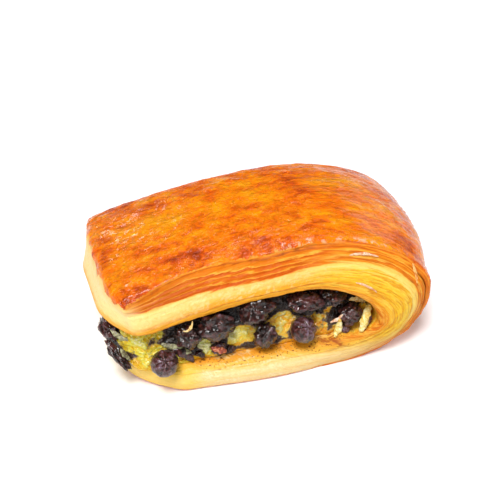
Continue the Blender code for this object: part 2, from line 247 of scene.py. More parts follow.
def custard_point(a, b, w):
    """Where the custard is at a from open end to fold, b from bottom to top and w from front to back."""
    angle = math.pi / 2 - (math.pi / 2 - 0.15) * unit((a - CUSTARD_TURN) / (1 - CUSTARD_TURN))
    corner = CUSTARD_CORNER_PULL * corner_pull(w, 0.3, 0.7)
    flat_x = INNER_TURN_X + (CUSTARD_END + corner - INNER_TURN_X) * unit(1 - a / CUSTARD_TURN)
    gap_x = INNER_REACH - INNER_TURN_X - 1.4 * FIT_GAP
    x = np.where(a < CUSTARD_TURN, flat_x, INNER_TURN_X + gap_x * np.cos(angle))
    front_low = 30.6 - 3.4 * rise(0.75, 1.0, a)
    front = -(front_low - 4.4 * rise(0.05, 0.6, b) - 2.6 * rise(0.6, 1.0, b)) * MM
    back = (29.2 - 2.4 * rise(0.75, 1.0, a) - 4.6 * rise(0.05, 0.8, b)) * MM
    y = front + (back - front) * w
    low = INNER_MIDDLE_Z - (INNER_MIDDLE_Z - LOWER_THICKNESS - FIT_GAP) * np.sin(angle)
    across = unit((y + 30.0 * MM) / (62.0 * MM))
    above = unit((INNER_TURN_X - x) / (INNER_TURN_X - upper_inner_end(across)))
    high = INNER_MIDDLE_Z + (CAVITY_TOP - FIT_GAP - INNER_MIDDLE_Z) * np.sin(angle)
    crevice = CREVICE * np.sin(angle) * corner_pull(w, 0.16, 1.0)
    high = high - INNER_DROP * above**UPPER_POWER - crevice - 1.5 * MM * rise(0.9, 1.0, above)
    return x, y, low + (high - low) * b


def eased_rows(count, edge_share):
    """Grid lines from 0 to 1 that crowd towards both ends, for smooth rounding there."""
    t = np.linspace(0, 1, count + 1)
    return (1 - edge_share) * t + edge_share * (0.5 - 0.5 * np.cos(math.pi * t))


def box_faces(index):
    """The quads over the six sides of a block of grid points, all facing out."""
    faces = []
    for axis in range(3):
        block = np.moveaxis(index, axis, 0)
        for side, turned in ((0, axis == 1), (-1, axis != 1)):
            sheet = block[side]
            quad = (sheet[:-1, :-1], sheet[1:, :-1], sheet[1:, 1:], sheet[:-1, 1:])
            rows = np.stack([q.ravel() for q in quad], axis=1)
            faces.append(rows[:, ::-1] if turned else rows)
    return np.concatenate(faces)


def surface_grid(first, second, third):
    """Points and quads on the skin of a block with the given grid lines along its three axes."""
    grid = np.stack(np.meshgrid(first, second, third, indexing="ij"), axis=-1)
    on_skin = np.zeros(grid.shape[:3], bool)
    for axis in range(3):
        view = np.moveaxis(on_skin, axis, 0)
        view[0] = view[-1] = True
    index = np.full(on_skin.shape, -1)
    index[on_skin] = np.arange(on_skin.sum())
    return grid[on_skin].T, box_faces(index)


def rounded(shares, size, radius):
    """Pulls the skin of a unit block in at its edges, with a real length and rounding radius per axis."""
    held, pushed = [], []
    for share, length, r in zip(shares, size, radius):
        q = share * length
        centre = np.clip(q, np.minimum(r, length / 2), np.maximum(length - r, length / 2))
        held.append(centre)
        pushed.append((q - centre) / r)
    reach = np.maximum(np.sqrt(sum(p * p for p in pushed)), 1e-9)
    most = np.maximum.reduce([np.abs(p) for p in pushed])
    return [(c + p * r * most / reach) / length for c, p, r, length in zip(held, pushed, radius, size)]


def chocolate_swell(direction, centre, folds):
    """How far the chocolate stands out along a direction from its centre, as a share of its half size."""
    if folds:
        around = math.atan2(direction.y, direction.x)
        top = max(direction.z, 0.0)
        crease = abs(math.sin(0.5 * folds * around)) ** 0.7
        return 1 - 0.15 * (1 - crease) * top**0.5 * (1 - top**6) - 0.10 * top**8
    lump = noise.noise(direction * 1.7 + Vector(centre))
    return 1 + 0.30 * lump + 0.10 * noise.noise(direction * 4.0 + Vector(centre))


def grain(points, size, seed=0):
    """Smooth random relief between -1 and 1 in lumps of about the given size, for many points at once."""
    p = points / np.array(size) + 17.3 * (seed + 1)
    cell = np.floor(p).astype(np.int64)
    f = p - cell
    ease = f * f * f * (f * (f * 6.0 - 15.0) + 10.0)
    total = np.zeros(len(p))
    for corner in np.ndindex(2, 2, 2):
        at = cell + corner
        code = (at[:, 0] * 374761393 + at[:, 1] * 668265263 + at[:, 2] * 1274126177) & 0xFFFFFFFF
        code = ((code ^ (code >> 13)) * 1274126177) & 0xFFFFFFFF
        code = code ^ (code >> 16)
        slope = np.stack([(code >> shift & 1023) / 511.5 - 1.0 for shift in (0, 10, 20)], axis=1)
        share = np.prod(np.where(corner, ease, 1 - ease), axis=1)
        total += share * np.sum(slope * (f - corner), axis=1)
    return np.clip(total * 1.6, -1.0, 1.0)


def domes(points, size, seed=0):
    """Rounded blisters with creases between them, from the squared distance to the nearest scattered middle."""
    p = points / np.array(size) + 9.1 * (seed + 1)
    cell = np.floor(p).astype(np.int64)
    nearest = np.full(len(p), 9.0)
    for offset in np.ndindex(3, 3, 3):
        at = cell + np.array(offset) - 1
        code = (at[:, 0] * 73856093 ^ at[:, 1] * 19349663 ^ at[:, 2] * 83492791) & 0xFFFFFFFF
        code = ((code ^ (code >> 15)) * 2246822519) & 0xFFFFFFFF
        code = code ^ (code >> 13)
        middle = at + np.stack([(code >> shift & 1023) / 1023.0 for shift in (0, 10, 20)], axis=1)
        nearest = np.minimum(nearest, np.sum((p - middle) ** 2, axis=1))
    return 1 - unit(nearest)


def normals_of(points, faces):
    """The outward direction at every point of a closed skin of quads."""
    a, b, c, d = (points[faces[:, k]] for k in range(4))
    face_normals = np.cross(c - a, d - b)
    result = np.zeros_like(points)
    for k in range(4):
        np.add.at(result, faces[:, k], face_normals)
    return result / np.maximum(np.linalg.norm(result, axis=1, keepdims=True), 1e-12)


def new_object(name, data):
    made = bpy.data.objects.new(name, data)
    bpy.context.scene.collection.objects.link(made)
    return made


def new_piece(name, points, faces, material, nodes, slot, tones):
    """One visible piece: it rides on the pastry, stands for its nodes and carries its painted tones."""
    mesh = bpy.data.meshes.new(name)
    mesh.from_pydata((points + ROW_SHIFT).tolist(), [], [tuple(map(int, face)) for face in faces])
    for tone, values in tones.items():
        values = np.asarray(values, np.float32)
        kind, key = ("FLOAT_VECTOR", "vector") if values.ndim == 2 else ("FLOAT", "value")
        mesh.attributes.new(tone, kind, "POINT").data.foreach_set(key, values.ravel())
    mesh.materials.append(material)
    mesh.shade_smooth()
    piece = new_object(name, mesh)
    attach(piece, "root")
    if nodes:
        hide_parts(*nodes)


# Dough: grid lines of the three stretches, through the thickness and across, crowding towards the ends
STRETCH_LINES = (76, 118, 96)
DEPTH_LINES = 58
ACROSS_LINES = 84
END_CROWDING = 1.12
# The strip's sizes, for the scale of its relief
STRIP_LENGTH = 240.0 * MM
FLAP_MM = 79.5
WIDTH_MM = WIDTH / MM
THICKNESS_MM = (9.5, 9.5, 24.0, 16.0, 12.0)
# How far the open end below is drawn in, and how long and deep the upper flap's corners are rounded
END_DRAWN_IN = 2.6 * MM
CORNER_MM = 9.0
CORNER_SHARE = 0.13

# How far in mm the crust comes down over the front cut side, or stays back from it, along the strip
CRUST_LIMIT = (
    (0.0, 0.5), (1.0, 0.6), (1.4, 0.4), (1.6, 0.0), (1.73, -0.8), (1.8, 0.0), (1.9, 0.3), (1.97, 1.0),
    (2.05, 1.1), (2.25, 1.4), (2.4, 0.3), (2.55, -1.1), (2.67, -1.8), (2.77, -0.8), (2.9, 0.4), (3.0, 1.4),
)
# Where the orange layers end and the pale band starts on the front cut side, as a share of the thickness
PALE_START = (
    (0.0, 0.3), (1.4, 0.34), (1.6, 0.27), (1.7, 0.25), (1.8, 0.28), (1.9, 0.36), (1.98, 0.44), (2.23, 0.50),
    (2.42, 0.46), (2.61, 0.37), (2.8, 0.36), (2.92, 0.34), (3.0, 0.28),
)
# The place of that start in the colour ramps
ORANGE_SHARE = 0.42
# Where along the fold the outermost layer has come loose: starts, open, closes, ends
SPLIT = (1.36, 1.46, 1.58, 1.70)
# Browner and more golden patches: station and its reach, mm from the front and its reach, how much browner
BROWN_PATCHES = (
    (1.60, 0.16, 12.0, 10.0, -0.22), (2.70, 0.18, 10.0, 4.5, 0.30), (2.70, 0.18, 36.0, 17.0, -0.16),
)


def hump(value, middle, reach):
    """1 at the middle, fading softly to both sides."""
    return np.exp(-(((value - middle) / reach) ** 2))


def plateau(start, full, closing, end, value):
    """1 between full and closing, easing down to 0 at start and end."""
    return rise(start, full, value) * fall(closing, end, value)


def split_groove(s, d, w, thickness):
    """The split at the right of the fold where the outermost layer has come loose, 1 in its groove."""
    middle = 0.085 + 0.05 * (s - 1.52)
    return plateau(*SPLIT, s) * hump((d - middle) * thickness, 0.0, 0.38) * fall(0.03, 0.09, w)


def crust_relief(strip):
    """Millimetres of swelling, blisters and stretched wrinkles on the browned outside."""
    curl = np.stack([grain(strip, 5, 40), np.zeros(len(strip)), grain(strip, 5, 41)], axis=1)
    curled = strip + 2.6 * curl
    swelling = 0.50 * grain(strip, (22, 10, 20), 10) + 0.32 * grain(strip, (8, 8, 9), 26)
    blisters = 0.50 * domes(strip, (6.5, 6, 6.5), 1) ** 2 * unit(grain(strip, 13, 8) + 0.3)
    wrinkles = (1 - np.abs(grain(curled, (4.4, 4, 4.0), 9))) ** 4
    short = (1 - np.abs(grain(curled, (2.4, 3, 2.4), 11))) ** 4
    return swelling + blisters + 0.24 * wrinkles + 0.18 * short


def cut_relief(s, level, strip):
    """Millimetres that the ragged layers, their lines and the crumb stand out on a cut side."""
    layer = np.searchsorted(np.array(CRUST_LAYERS[1:] + FILLING_LAYERS), level) * 40.0
    ragged = np.stack([strip[:, 0], layer, layer], axis=1)
    edges = 0.26 * grain(ragged, 8, 12) + 0.16 * grain(ragged, 2.4, 13)
    lines = 0.13 * grain(strip, (9, 0.8, 5), 3) + 0.10 * grain(strip, (4, 0.5, 5), 24)
    crumb = 0.07 * grain(strip, (2.2, 0.9, 2), 14)
    dents = -0.35 * unit(grain(strip, (9, 2.5, 6), 25) - 0.35)
    return along_strip(s, (0.4, 0.45, 1.0, 1.0, 0.75)) * (edges + lines) + crumb + dents


def dough_form():
    """The dough's points, plain and with relief, its quads and painted tones."""
    lower, fold, upper = (np.linspace(0, 1, lines + 1) for lines in STRETCH_LINES)
    rows = np.concatenate([lower[:-1] ** END_CROWDING, 1 + fold[:-1], 3.0 - (1 - upper) ** END_CROWDING])
    depths = np.linspace(0, 1, DEPTH_LINES + 1)
    depths = 0.6 * depths + 0.4 * depths**2
    (s, d, w), faces = surface_grid(rows, depths, eased_rows(ACROSS_LINES, 0.3))
    thickness = along_strip(s, THICKNESS_MM)
    size, rounding = (STRIP_LENGTH, thickness * MM, WIDTH), (END_ROUND, FACE_ROUND, SIDE_ROUND)
    s, d, w = rounded((s / 3.0, d, w), size, rounding)
    s = 3.0 * s
    strip = np.stack([s * FLAP_MM, d * thickness, w * WIDTH_MM], axis=1)
    wander = 0.030 * grain(strip * (1, 0, 0), 26, 1) + 0.014 * grain(strip * (1, 0.2, 0), 8, 2)
    level = unit(d + wander * plateau(0, 0.06, 0.85, 1.0, d))
    x, _, z = dough_point(s, d, w)
    y = dough_point(s, level, w)[1]
    from_end = unit(1 - (3.0 - s) * FLAP_MM / CORNER_MM)
    y *= 1 - CORNER_SHARE * (1 - np.sqrt(1 - from_end**2)) * rise(0.12, 0.5, d)
    points = np.stack([x, y, z], axis=1)

    depth_mm = d * thickness
    side_mm = np.minimum(w, 1 - w) * WIDTH_MM
    end_mm = np.minimum(s, 3.0 - s) * FLAP_MM
    in_front = w < 0.5
    at_end = rise(-1.5, 1.5, side_mm - end_mm)
    limit = np.where(in_front, np.interp(s, *zip(*CRUST_LIMIT)), 0.5)
    drips = 2.2 + 1.6 * grain(strip * (0, 0, 1), 5, 50) + 0.8 * grain(strip * (0, 0, 1), 1.8, 51)
    limit = limit + (np.where(s > 1.5, drips, 0.8) - limit) * at_end
    rim = depth_mm - np.minimum(side_mm, end_mm) - limit
    crusty = fall(-0.4, 0.8, rim)
    groove = split_groove(s, d, w, thickness)
    top_edge = hump(rim, -1.0, 1.1) * rise(1.5, 1.8, s)
    beads = np.where(in_front, 0.42, 0.15) * top_edge * grain(strip, (1.9, 3, 3), 27)
    # Pale blisters along the crust's front edge; their pinkish-white colour is partly pale dough and partly a
    # painted highlight
    edge_blisters_and_glints = hump(rim, -0.7, 0.8) * plateau(1.70, 1.80, 2.08, 2.24, s) * (w < 0.3)
    calm_back = 1 - 0.6 * hump((1 - w) * WIDTH_MM, 0.0, 4.0)
    relief = crusty * (crust_relief(strip) * rise(0, 1.3, s) * calm_back + beads)
    relief += (1 - crusty) * cut_relief(s, level, strip) * (1 - 0.75 * at_end) - 1.3 * groove
    relief += 0.5 * plateau(*SPLIT, s) * hump(depth_mm, 0.7, 0.7) * (w < 0.1)
    moved = points + normals_of(points, faces) * relief[:, None] * MM
    moved[:, 0] += END_DRAWN_IN * fall(0, 0.3, s)

    band_mm = np.where(in_front, np.interp(s, *zip(*PALE_START)), 0.4) * thickness - limit
    below = rim + (level - d) * thickness
    pale_share = (below - band_mm) / (thickness - limit - band_mm)
    side_level = ORANGE_SHARE + np.where(
        below < band_mm, ORANGE_SHARE * (below / band_mm - 1.0), (1 - ORANGE_SHARE) * pale_share
    )
    patches = 0.32 * grain(strip, (15, 9, 15), 5) + 0.32 * grain(strip, (6.5, 5, 5), 6)
    browning = 0.40 + patches + 0.14 * grain(strip, (2.6, 3, 2.6), 7)
    from_front = strip[:, 2]
    browning += 0.26 * fall(0, 11.0, from_front + 3.0 * patches) * rise(1.9, 2.2, s)
    browning += 0.16 * fall(0, 9.0, WIDTH_MM - from_front)
    browning += 0.05 * plateau(1.2, 1.45, 1.60, 1.9, s)
    for station, length, across, breadth, change in BROWN_PATCHES:
        browning += change * hump(s, station, length) * hump(from_front, across, breadth)
    pits = unit(grain(strip, (1.5, 4, 4), 28) - 0.15) * hump(rim, 0.9, 0.35)
    arc = unit(grain(strip, (2.2, 4, 4), 29) + 0.05) * hump((d - 0.25) * thickness, 0.0, 0.3)
    # Painted shade: dark brown in the groove of the split, in the pits below the crust's edge and along a
    # pitted arc on the fold
    split_and_pit_shade = groove + 0.8 * pits * rise(1.8, 2.0, s) + 0.9 * arc * plateau(1.35, 1.6, 1.75, 1.95, s)
    tones = {
        "strip": strip, "edge_blisters_and_glints": edge_blisters_and_glints, "rim": rim, "station": s,
        "level": np.where((s > 1.0) & (at_end < 0.5), side_level, d),
        "ledge": rise(0.74, 0.9, d) * plateau(0.12, 0.3, 1.12, 1.3, s) * (w < 0.2),
        "at_end": rise(-9.0, 3.0, side_mm - end_mm),
        "browning": unit(browning), "split_and_pit_shade": unit(split_and_pit_shade),
    }
    return points, moved, faces, tones


# Shading: colours are given as they look on screen, from 0 to 255, under studio light this much above white
STUDIO_LIGHT = 1.2


def rgb(red, green, blue, light=STUDIO_LIGHT):
    shares = (np.array([red, green, blue]) / 255.0).tolist()
    linear = [c / 12.92 if c <= 0.04045 else ((c + 0.055) / 1.055) ** 2.4 for c in shares]
    return tuple(c / light for c in linear) + (1.0,)


SHADER_INPUTS = {
    "colour": "Base Color", "normal": "Normal", "roughness": "Roughness", "specular": "Specular IOR Level",
    "coat": "Coat Weight", "coat_roughness": "Coat Roughness", "subsurface": "Subsurface Weight",
    "radius": "Subsurface Radius", "depth": "Subsurface Scale",
}


class Bench:
    """Short ways to place and link the nodes of one material or group."""

    def __init__(self, tree):
        self.tree = tree

    def add(self, kind, inputs=(), **settings):
        node = self.tree.nodes.new(kind)
        for key, value in settings.items():
            setattr(node, key, value)
        for key, value in dict(inputs).items():
            self.feed(value, node.inputs[key])
        return node

    def feed(self, value, socket):
        if isinstance(value, bpy.types.NodeSocket):
            self.tree.links.new(value, socket)
        else:
            socket.default_value = value

    def tone(self, name, output="Fac"):
        return self.add("ShaderNodeAttribute", attribute_name=name).outputs[output]

    def place(self):
        return self.add("ShaderNodeTexCoord").outputs["Object"]

    def math(self, operation, a, b=0.0):
        return self.add("ShaderNodeMath", {0: a, 1: b}, operation=operation).outputs[0]

    def times(self, a, b):
        return self.math("MULTIPLY", a, b)

    def total(self, *terms):
        """Adds its terms, where a pair is a value and its strength."""
        result, *rest = [self.times(*term) if isinstance(term, tuple) else term for term in terms]
        for value in rest:
            result = self.math("ADD", result, value)
        return result

    def mix(self, share, first, second):
        return self.add("ShaderNodeMix", {0: share, 6: first, 7: second}, data_type="RGBA").outputs[2]

    def between(self, value, low, high):
        inputs = {"Value": value, "From Min": low, "From Max": high}
        return self.add("ShaderNodeMapRange", inputs, interpolation_type="SMOOTHSTEP").outputs[0]

    def ramp(self, value, stops):
        node = self.add("ShaderNodeValToRGB", {"Fac": value})
        band = node.color_ramp
        while len(band.elements) < len(stops):
            band.elements.new(1.0)
        for element, (place, *colour) in zip(band.elements, stops):
            element.position = place
            element.color = rgb(*colour)
        return node.outputs["Color"]

    def bump(self, height, strength, distance):
        inputs = {"Height": height, "Strength": strength, "Distance": distance}
        return self.add("ShaderNodeBump", inputs).outputs[0]

    def specks(self, place, size, strength=1.0, curl=0.6):
        """Places the shared group of fine random specks: a value around zero, for grains of a given size."""
        scale = (1 / np.broadcast_to(size, 3)).tolist()
        inputs = {"Place": place, "Grains per unit": scale, "Strength": strength, "Curl": curl}
        return self.add("ShaderNodeGroup", inputs, node_tree=speck_group()).outputs["Specks"]

    def dress(self, **values):
        """Sets sockets of the material's shader, by the short names of SHADER_INPUTS."""
        for key, value in values.items():
            self.feed(value, self.tree.nodes["Principled BSDF"].inputs[SHADER_INPUTS[key]])


def speck_group():
    group = bpy.data.node_groups.get("fine_specks")
    if group:
        return group
    group = bpy.data.node_groups.new("fine_specks", "ShaderNodeTree")
    sockets = (("Place", "Vector"), ("Grains per unit", "Vector"), ("Strength", "Float"), ("Curl", "Float"))
    for name, kind in sockets:
        group.interface.new_socket(name, in_out="INPUT", socket_type="NodeSocket" + kind)
    group.interface.new_socket("Specks", in_out="OUTPUT", socket_type="NodeSocketFloat")
    bench = Bench(group)
    given = bench.add("NodeGroupInput")
    spread = bench.add("ShaderNodeVectorMath", {0: given.outputs[0], 1: given.outputs[1]}, operation="MULTIPLY")
    settings = {"Vector": spread.outputs[0], "Scale": 1.0, "Detail": 3.0, "Roughness": 0.5}
    specks = bench.add("ShaderNodeTexNoise", {**settings, "Distortion": given.outputs["Curl"]}).outputs[0]
    centred = bench.times(bench.math("SUBTRACT", specks, 0.5), 2.0)
    end = bench.add("NodeGroupOutput")
    bench.feed(bench.times(centred, given.outputs["Strength"]), end.inputs["Specks"])
    return group


def new_material(name):
    material = bpy.data.materials.new(name)
    material.use_nodes = True
    return material, Bench(material.node_tree)


# Colours: a place from 0 to 1, then red, green and blue. The crust from golden to brown, the cut sides
# from crust to filling, the curds from yellow to pale, and the chocolate from dark to bloomed, its darkest
# partly a painted shade in hollows and creases and its palest violet a painted sheen
CRUST_COLOURS = (
    (0, 272, 170, 6), (0.2, 269, 152, 0), (0.4, 263, 132, 0), (0.56, 248, 111, 0), (0.74, 212, 80, 2),
    (1, 158, 52, 6),
)
UPPER_SIDE = (
    (0, 246, 170, 70), (0.03, 244, 156, 42), (0.05, 222, 116, 18), (0.07, 178, 80, 10), (0.09, 222, 112, 2),
    (0.15, 230, 128, 6), (0.165, 250, 182, 62), (0.18, 200, 80, 0), (0.24, 224, 110, 0), (0.25, 248, 172, 50),
    (0.27, 206, 84, 0), (0.33, 218, 104, 0), (0.345, 246, 166, 48), (0.36, 198, 78, 0), (0.41, 216, 94, 2),
    (0.43, 246, 178, 74), (0.46, 252, 204, 106), (0.56, 252, 206, 112), (0.64, 251, 194, 80),
    (0.72, 248, 176, 46), (0.77, 244, 166, 40), (0.8, 216, 124, 22), (0.83, 248, 176, 46), (0.92, 245, 164, 40),
    (0.97, 224, 130, 28), (1, 176, 90, 26),
)
FOLD_SIDE = (
    (0, 228, 120, 34), (0.05, 246, 156, 44), (0.08, 208, 94, 14), (0.13, 240, 134, 20), (0.17, 252, 180, 60),
    (0.19, 212, 98, 12), (0.27, 242, 142, 22), (0.3, 252, 190, 74), (0.33, 214, 102, 12), (0.39, 240, 140, 26),
    (0.43, 253, 206, 94), (0.48, 254, 222, 120), (0.53, 250, 194, 44), (0.56, 228, 150, 26),
    (0.59, 253, 212, 72), (0.65, 250, 192, 34), (0.68, 224, 144, 22), (0.71, 253, 208, 54),
    (0.77, 246, 180, 32), (0.8, 222, 136, 26), (0.83, 253, 208, 76), (0.88, 248, 178, 44), (0.91, 232, 134, 20),
    (0.94, 250, 186, 72), (0.97, 226, 122, 20), (1, 196, 96, 20),
)
LOWER_SIDE = (
    (0, 206, 140, 70), (0.03, 236, 182, 104), (0.08, 246, 208, 138), (0.25, 249, 219, 158),
    (0.42, 250, 212, 138), (0.6, 250, 220, 160), (0.75, 250, 209, 124), (0.86, 252, 196, 84),
    (0.94, 248, 176, 54), (1, 240, 156, 40),
)
END_FACE = (
    (0, 226, 128, 38), (0.1, 250, 190, 96), (0.2, 252, 216, 138), (0.45, 253, 226, 162), (0.7, 252, 216, 138),
    (0.84, 250, 190, 86), (0.93, 246, 164, 56), (1, 196, 112, 42),
)
CUSTARD_LEFT = (
    (0, 230, 172, 16), (0.3, 236, 204, 36), (0.52, 230, 216, 72), (0.75, 230, 226, 118), (1, 248, 242, 176),
)
CUSTARD_RIGHT = (
    (0, 240, 152, 12), (0.3, 248, 184, 36), (0.52, 245, 206, 76), (0.75, 240, 222, 124), (1, 251, 240, 176),
)
# The custard's dark side, from grey-green chocolate smear to near black: partly smeared chocolate, partly
# painted shade under the upper flap and between the chocolate
CUSTARD_SMEAR_AND_SHADE = (
    (0.3, 168, 150, 84), (0.48, 128, 116, 80), (0.62, 86, 62, 44), (0.78, 54, 28, 20), (1, 22, 8, 5),
)
CHOCOLATE_COLOURS = (
    (0, 12, 3, 1), (0.32, 44, 13, 8), (0.55, 86, 36, 30), (0.78, 114, 66, 66), (1, 144, 116, 134),
)


def dough_material():
    material, bench = new_material("egg_washed_dough")
    between, mix, times, total = bench.between, bench.mix, bench.times, bench.total
    strip = bench.tone("strip", "Vector")
    strokes = bench.specks(strip, (4.8, 3.0, 3.0), curl=1.4)
    fine = bench.specks(strip, (1.3, 0.8, 1.1), curl=0.8)
    web = bench.specks(strip, (4.2, 4.0, 4.2), curl=2.6)
    lines = bench.specks(strip, (13.0, 0.9, 4.0))
    thin_lines = bench.specks(strip, (5.0, 0.42, 3.0))
    crumbs = bench.specks(bench.place(), 0.0009)
    station, rim, ledge, at_end = (bench.tone(name) for name in ("station", "rim", "ledge", "at_end"))
    creases = between(bench.math("ABSOLUTE", web), 0.09, 0.0)
    mottle = total(strokes, fine)
    cut = between(total(rim, (fine, 1.2)), -0.15, 0.3)
    near_end = between(station, 2.5, 2.85)
    on_flap = between(station, 1.0, 0.7)
    on_fold = times(between(station, 0.9, 1.3), between(station, 2.3, 1.8))

    spread_range = {"Value": station, "From Min": 1.8, "From Max": 2.1, "To Min": 0.10, "To Max": 0.05}
    spread = bench.add("ShaderNodeMapRange", spread_range).outputs[0]
    level = total(bench.tone("level"), (total(lines, (thin_lines, 0.7)), spread))
    folded = mix(between(station, 1.85, 2.12), bench.ramp(level, FOLD_SIDE), bench.ramp(level, UPPER_SIDE))
    sides = mix(between(station, 0.95, 1.35), bench.ramp(level, LOWER_SIDE), folded)
    sides = mix(at_end, sides, bench.ramp(level, END_FACE))
    streaks = between(total(lines, thin_lines), -0.1, 0.9)
    pale = between(total(lines, fine), 0.0, -0.7)
    in_middle = times(between(level, 0.4, 0.5), between(level, 0.86, 0.72))
    creamy = times(between(mottle, 0.15, -0.45), in_middle)
    corner = times(near_end, between(level, 0.43, 0.37))
    syrup = times(between(bench.math("ABSOLUTE", total(station, -1.10)), 0.07, 0.02), ledge)
    # Over the cut sides: where, how strong, and the colour
    tints = (
        (streaks, total(0.35, (on_flap, -0.2)), (250, 172, 44)),
        (pale, times(on_flap, 0.5), (254, 243, 200)),
        (creamy, total(0.42, (on_fold, -0.36)), (255, 234, 172)),
        (times(near_end, in_middle), 0.5, (255, 228, 150)),
        (corner, total(0.5, (at_end, -0.5)), (186, 92, 0)),
        (between(fine, 0.1, 0.5), 0.3, (226, 150, 62)),
        (between(crumbs, 0.17, 0.33), ledge, (134, 70, 22)),
        (syrup, between(strokes, 0.25, -0.2), (176, 92, 34)),
        (between(station, 0.26, 0.06), 0.6, (254, 206, 58)),
    )
    for share, strength, tint in tints:
        sides = mix(times(share, strength), sides, rgb(*tint))

    browning = total(bench.tone("browning"), (strokes, 0.38), (fine, 0.12), (creases, -0.16))
    colour = mix(cut, bench.ramp(browning, CRUST_COLOURS), sides)
    # Painted highlight: pinkish-white glints on the pale blisters along the crust's front edge
    blister_glints = times(between(mottle, 0.02, 0.3), bench.tone("edge_blisters_and_glints"))
    colour = mix(times(blister_glints, 0.8), colour, rgb(255, 196, 160))
    # Painted shade in the split's groove and the pits
    colour = mix(times(bench.tone("split_and_pit_shade"), 0.85), colour, rgb(92, 40, 14))

    shoulder = times(between(station, 1.3, 1.6), between(station, 2.05, 1.85))
    wrinkled = total(-1.0, (near_end, -0.7), (shoulder, -0.8))
    on_crust = total((strokes, wrinkled), (fine, -0.2), (creases, 0.5))
    layered = total((lines, 0.7), (thin_lines, 0.3))
    on_cut = total((layered, total(0.35, (on_fold, 0.65))), (fine, 0.2))
    height = bench.add("ShaderNodeMix", {0: cut, 2: on_crust, 3: on_cut}, data_type="FLOAT").outputs[0]
    at_rim = times(between(bench.math("ABSOLUTE", rim), 2.6, 1.2), between(station, 2.2, 2.5))
    roughness = total(0.2, (cut, 0.26), (fine, 0.08), (at_rim, 0.3))
    gloss = total(0.42, (near_end, 0.3), (cut, -0.68), (at_rim, -0.3))
    bench.dress(colour=colour, normal=bench.bump(height, 1.0, 0.0005), roughness=roughness, coat=gloss)
    bench.dress(specular=0.14, coat_roughness=0.18, subsurface=0.05, radius=(1.0, 0.4, 0.1), depth=0.0015)
    return material


def custard_material():
    material, bench = new_material("baked_custard")
    place = bench.place()
    lumps = bench.specks(place, (0.003, 0.003, 0.0018), 0.5, 1.4)
    fine = bench.specks(place, (0.0009, 0.0009, 0.0006))
    curd = bench.total(bench.tone("curd"), lumps, (fine, 0.6))
    to_right = bench.between(bench.tone("station"), -40.0, 5.0)
    cream = bench.mix(to_right, bench.ramp(curd, CUSTARD_LEFT), bench.ramp(curd, CUSTARD_RIGHT))
    cocoa_and_shade = bench.total(bench.tone("cocoa_and_shade"), (fine, 0.25), (lumps, 0.4))
    # Darker next to the chocolate and under the upper flap: partly smeared chocolate, partly painted shade
    colour = bench.mix(bench.between(cocoa_and_shade, 0.36, 0.6), cream, bench.ramp(cocoa_and_shade, CUSTARD_SMEAR_AND_SHADE))
    bench.dress(colour=colour, normal=bench.bump(bench.total(fine, lumps), 0.9, 0.0005))
    bench.dress(roughness=0.24, specular=0.45, coat=0.3, coat_roughness=0.1)
    bench.dress(subsurface=0.2, radius=(1.0, 0.7, 0.2), depth=0.0015)
    return material


def chocolate_material():
    material, bench = new_material("baked_chocolate")
    place = bench.place()
    grains, fine = bench.specks(place, 0.0022), bench.specks(place, 0.00055)
    tone = bench.total(bench.tone("bloom_and_painted_shading"), (grains, 0.8), (fine, 0.45))
    height = bench.total((grains, 0.8), (fine, 1.5))
    bench.dress(colour=bench.ramp(tone, CHOCOLATE_COLOURS), normal=bench.bump(height, 1.0, 0.0006))
    bench.dress(roughness=0.34, specular=0.2, coat=0.9, coat_roughness=0.06)
    return material


def floor_material():
    material, bench = new_material("white_table")
    paper = bench.specks(bench.place(), 0.02, 0.5)
    white = bench.mix(bench.total(paper, 0.5), rgb(248, 248, 250, 1.0), rgb(253, 253, 253, 1.0))
    bench.dress(colour=white, roughness=0.8, specular=0.1)
    return material


# Chocolate

CHOCOLATE_RINGS = 48
CHOCOLATE_SEGMENTS = 72
# Steps, as a share of its size, in which a piece is pressed in where it touches another
PRESS_STEP = 0.03
MOST_PRESSES = 32


def is_clear(point, bodies, gap):
    for body in bodies:
        hit, normal, _, distance = body.find_nearest(point)
        if distance < gap or (point - hit).dot(normal) < 0.0:
            return False
    return True


